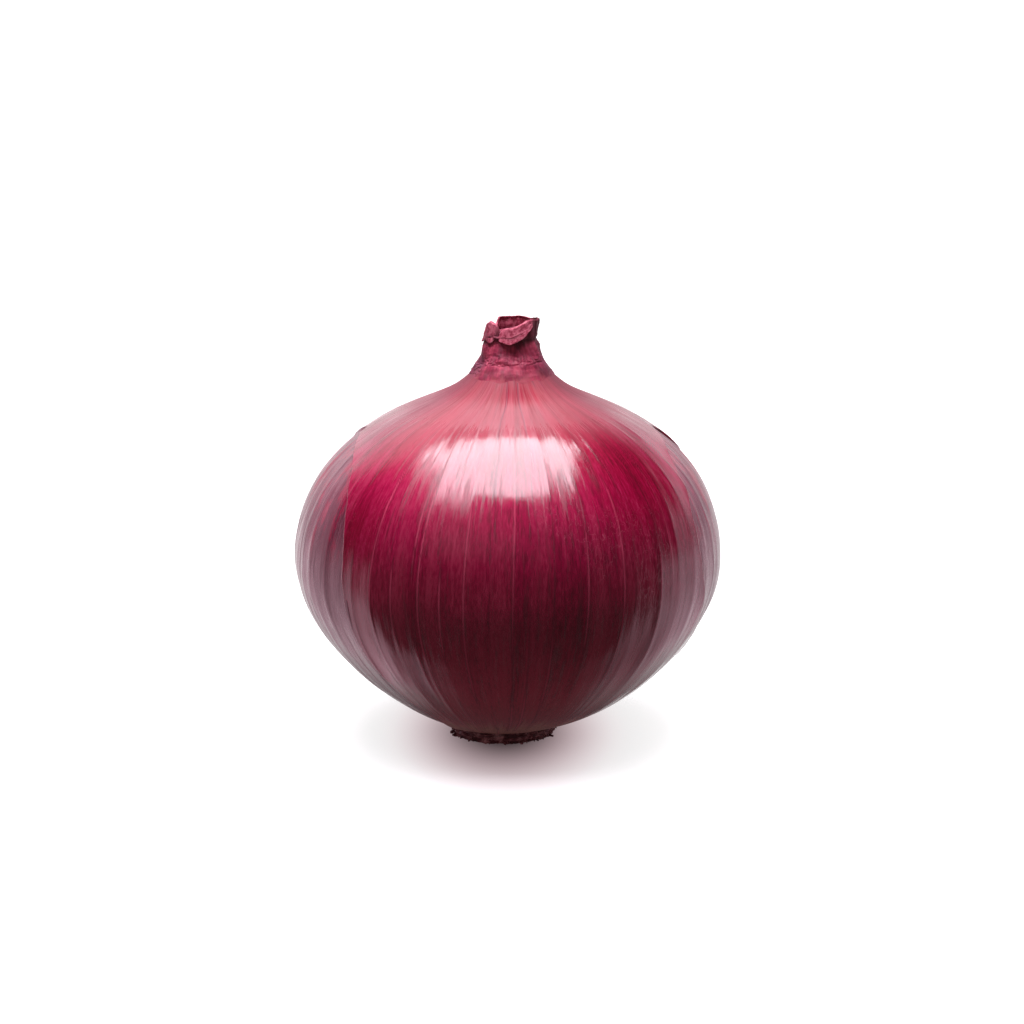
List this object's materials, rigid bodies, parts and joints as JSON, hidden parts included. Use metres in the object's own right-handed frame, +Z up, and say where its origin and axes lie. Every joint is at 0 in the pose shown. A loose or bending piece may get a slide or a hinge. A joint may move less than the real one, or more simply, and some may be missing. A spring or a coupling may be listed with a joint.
{
  "type": "red onion",
  "caption": "Whole dry red onion with glossy papery skin, a withered crumpled neck and a flat root plate that it stands on.",
  "frame": {"origin": "on the surface the onion stands on, under the middle of the bulb", "axes": "+Z up along the onion's axis, from root plate to neck; -Y is the side that faces the viewer; +X is to the viewer's right"},
  "size_m": [0.076, 0.076, 0.0762],
  "materials": {
    "skin": "glossy dry skin, crimson to dark maroon with fine lengthwise veins, paler pink towards the neck",
    "dry_neck": "matt, withered and crumpled, dark crimson with paler edges",
    "root_plate": "matt, corky, dark brown, with the stubs of dried roots"
  },
  "bodies": {
    "root": {"onion_bulb": "skin"}
  },
  "joints": []
}
